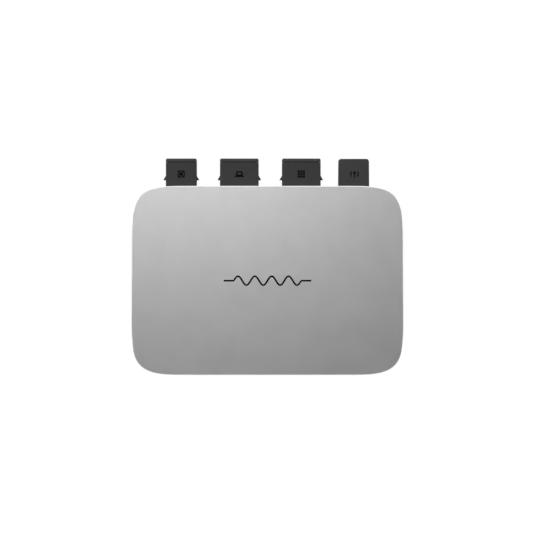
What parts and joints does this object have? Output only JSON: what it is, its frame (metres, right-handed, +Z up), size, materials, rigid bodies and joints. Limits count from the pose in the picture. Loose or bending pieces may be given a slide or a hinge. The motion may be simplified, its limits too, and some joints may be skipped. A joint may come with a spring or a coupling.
{
  "type": "micro inverter",
  "caption": "Flat wall-mounted micro inverter: aluminium case with rear fins, keyed plug sockets under rubber caps and an antenna on top, power electronics inside.",
  "frame": {"origin": "centre of the four mounting holes, on the rear plane that lies against the rail or wall", "axes": "+X along the width, +Z up towards the sockets, +Y out of the rear plane; the front face is at -Y"},
  "size_m": [0.242, 0.0295, 0.1932],
  "materials": {
    "anodised_case": "bead-blasted and clear anodised",
    "die_cast": "bead-blasted and clear anodised die casting",
    "black_print": "black printed ink",
    "dark_nylon": "fine-textured glass-filled nylon",
    "cap_rubber": "matt moulded rubber",
    "seal_silicone": "moulded silicone",
    "black_seal": "moulded silicone",
    "screw_steel": "passivated stainless steel",
    "brass": "turned brass",
    "gold_contact": "plated copper alloy",
    "green_board": "solder mask over glass-fibre board",
    "black_epoxy": "moulded epoxy",
    "thermal_pad": "soft filled silicone",
    "potting": "filled silicone compound",
    "ferrite": "sintered ferrite",
    "iron_powder": "coated pressed iron powder",
    "copper_wire": "enamelled copper wire",
    "yellow_tape": "polyester film tape over copper",
    "capacitor_can": "sleeved aluminium can",
    "film_box": "epoxy-filled box",
    "varistor": "dipped epoxy",
    "fuse_body": "ceramic tube with nickel caps",
    "tinned_steel": "tinned",
    "relay_base": "moulded polyester",
    "relay_case": "clear moulded cover",
    "silver_contact": "silver alloy on bronze",
    "light_guide": "clear polycarbonate",
    "white_led": "moulded body with a clear lens",
    "insulation": "polyester film",
    "label_film": "blank silver polyester label",
    "membrane": "porous PTFE",
    "green_wire": "PVC-covered wire and tinned ring",
    "coax_jacket": "fluoropolymer jacket"
  },
  "bodies": {
    "case": {"front_cover": "anodised_case", "main_housing": "die_cast", "perimeter_seal": "black_seal", "housing_screws": "screw_steel", "front_mark": "black_print", "insulation_sheet": "insulation", "rating_label": "label_film", "vent_cap": "dark_nylon", "vent_membrane": "membrane", "vent_seal": "black_seal", "status_light_pipe": "light_guide", "grid_socket_shell": "dark_nylon", "grid_contact_carrier": "dark_nylon", "grid_contacts": "gold_contact", "grid_socket_seal": "seal_silicone", "battery_socket_shell": "dark_nylon", "battery_contact_carrier": "dark_nylon", "battery_contacts": "gold_contact", "battery_socket_seal": "seal_silicone", "solar_socket_shell": "dark_nylon", "solar_contact_carrier": "dark_nylon", "solar_contacts": "gold_contact", "solar_socket_seal": "seal_silicone", "socket_screws": "screw_steel", "socket_inserts": "brass", "antenna_cover": "dark_nylon", "antenna_seal": "seal_silicone", "antenna_foot": "dark_nylon", "antenna_board": "green_board", "antenna_coax": "coax_jacket", "main_board": "green_board", "board_screws": "screw_steel", "power_transistors": "black_epoxy", "thermal_pads": "thermal_pad", "potting_layer": "potting", "transformer_cores": "ferrite", "transformer_windings": "yellow_tape", "filter_choke_cores": "iron_powder", "filter_choke_windings": "copper_wire", "boost_inductors": "ferrite", "bulk_capacitors": "capacitor_can", "film_capacitors": "film_box", "surge_varistors": "varistor", "fuses": "fuse_body", "fuse_clips": "tinned_steel", "relay_bases": "relay_base", "relay_coils": "copper_wire", "relay_contacts": "silver_contact", "relay_covers": "relay_case", "control_board": "green_board", "radio_module": "tinned_steel", "board_header": "black_epoxy", "status_led": "white_led", "earth_lead": "green_wire", "earth_screw": "screw_steel"},
    "grid_cap": {"grid_dust_cap": "cap_rubber"},
    "battery_cap": {"battery_dust_cap": "cap_rubber"},
    "solar_cap": {"solar_dust_cap": "cap_rubber"},
    "line_armature": {"line_relay_armature": "silver_contact"},
    "neutral_armature": {"neutral_relay_armature": "silver_contact"}
  },
  "joints": [
    {"name": "grid_cap_pull", "type": "slide", "parent": "case", "child": "grid_cap", "axis": [0, 0, 1], "range_m": [0, 0.02]},
    {"name": "battery_cap_pull", "type": "slide", "parent": "case", "child": "battery_cap", "axis": [0, 0, 1], "range_m": [0, 0.02]},
    {"name": "solar_cap_pull", "type": "slide", "parent": "case", "child": "solar_cap", "axis": [0, 0, 1], "range_m": [0, 0.02]},
    {"name": "line_relay_hinge", "type": "hinge", "parent": "case", "child": "line_armature", "pos_m": [-0.093, -0.0227, 0.0505], "axis": [0, 0, 1], "range_deg": [0, 2.5], "stiffness_Nm_per_rad": 0.005},
    {"name": "neutral_relay_hinge", "type": "hinge", "parent": "case", "child": "neutral_armature", "pos_m": [-0.069, -0.0227, 0.0505], "axis": [0, 0, 1], "range_deg": [0, 2.5], "stiffness_Nm_per_rad": 0.005}
  ]
}
